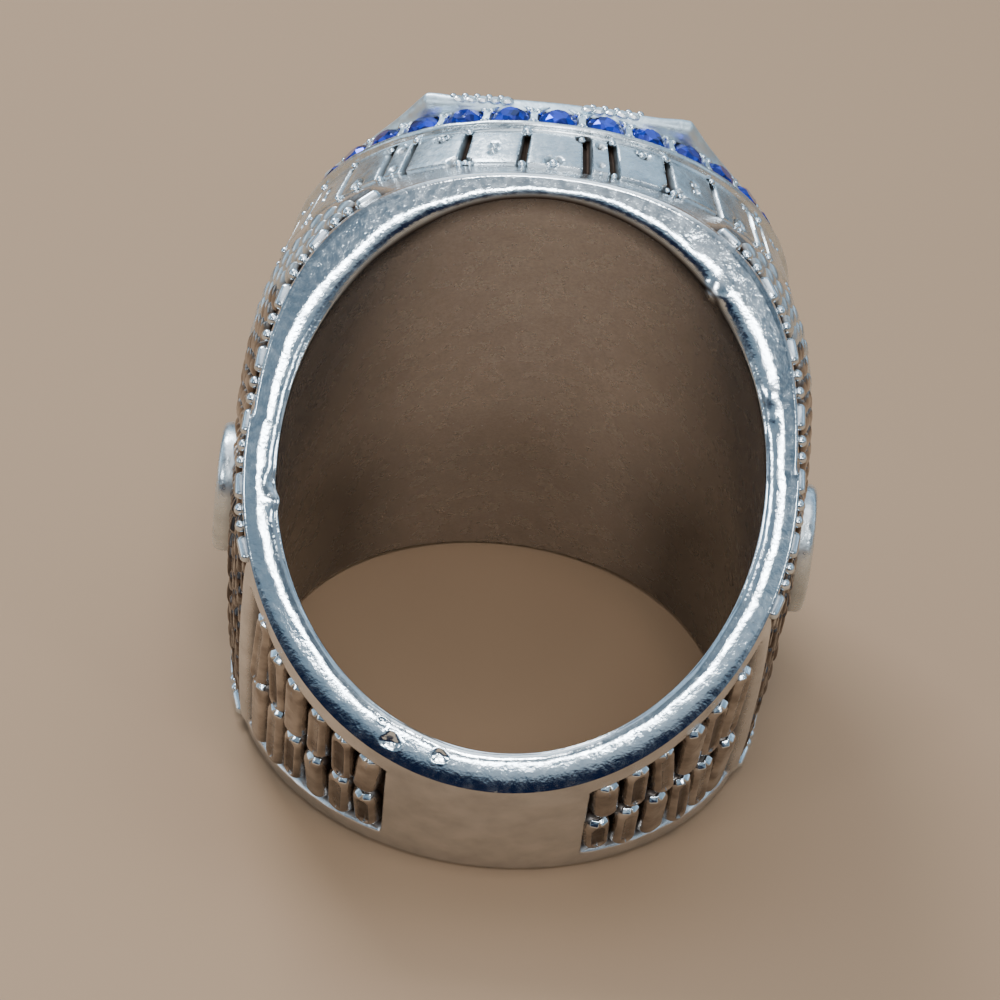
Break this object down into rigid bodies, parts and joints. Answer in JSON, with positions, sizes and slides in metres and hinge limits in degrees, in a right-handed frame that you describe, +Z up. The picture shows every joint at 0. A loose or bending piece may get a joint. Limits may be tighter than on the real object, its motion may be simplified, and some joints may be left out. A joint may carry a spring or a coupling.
{
  "type": "championship ring",
  "caption": "Heavy finger ring: tapered band with relief panels and side plaques, broad oval head with a block wall, a row of round blue stones, a paved top and a round centre stone.",
  "frame": {"origin": "on the surface that the ring lies on, under the middle of its box", "axes": "+Z up; the ring lies on one side face; +Y points from the back of the band to the head, +X across the finger hole; the finger hole's axis leans 28.4 degrees from +Z towards -Y, because the band widens towards the head"},
  "size_m": [0.0264, 0.0336, 0.0289],
  "materials": {
    "ring_metal": "bright plated zinc alloy, polished outside, satin and lightly scratched in the finger hole",
    "clear_stone": "clear faceted glass",
    "blue_stone": "deep royal blue faceted glass, foil backed"
  },
  "bodies": {
    "root": {"ring_body": "ring_metal", "centre_stone": "clear_stone", "blue_stone_01": "blue_stone", "blue_stone_02": "blue_stone", "blue_stone_03": "blue_stone", "blue_stone_04": "blue_stone", "blue_stone_05": "blue_stone", "blue_stone_06": "blue_stone", "blue_stone_07": "blue_stone", "blue_stone_08": "blue_stone", "blue_stone_09": "blue_stone", "blue_stone_10": "blue_stone", "blue_stone_11": "blue_stone", "blue_stone_12": "blue_stone", "blue_stone_13": "blue_stone", "blue_stone_14": "blue_stone", "blue_stone_15": "blue_stone", "blue_stone_16": "blue_stone", "blue_stone_17": "blue_stone", "blue_stone_18": "blue_stone", "blue_stone_19": "blue_stone", "blue_stone_20": "blue_stone", "blue_stone_21": "blue_stone", "blue_stone_22": "blue_stone", "blue_stone_23": "blue_stone", "blue_stone_24": "blue_stone", "blue_stone_25": "blue_stone", "blue_stone_26": "blue_stone", "blue_stone_27": "blue_stone", "blue_stone_28": "blue_stone", "blue_stone_29": "blue_stone", "blue_stone_30": "blue_stone", "blue_stone_31": "blue_stone", "blue_stone_32": "blue_stone", "blue_stone_33": "blue_stone", "blue_stone_34": "blue_stone", "blue_stone_35": "blue_stone", "blue_stone_36": "blue_stone"}
  },
  "joints": []
}
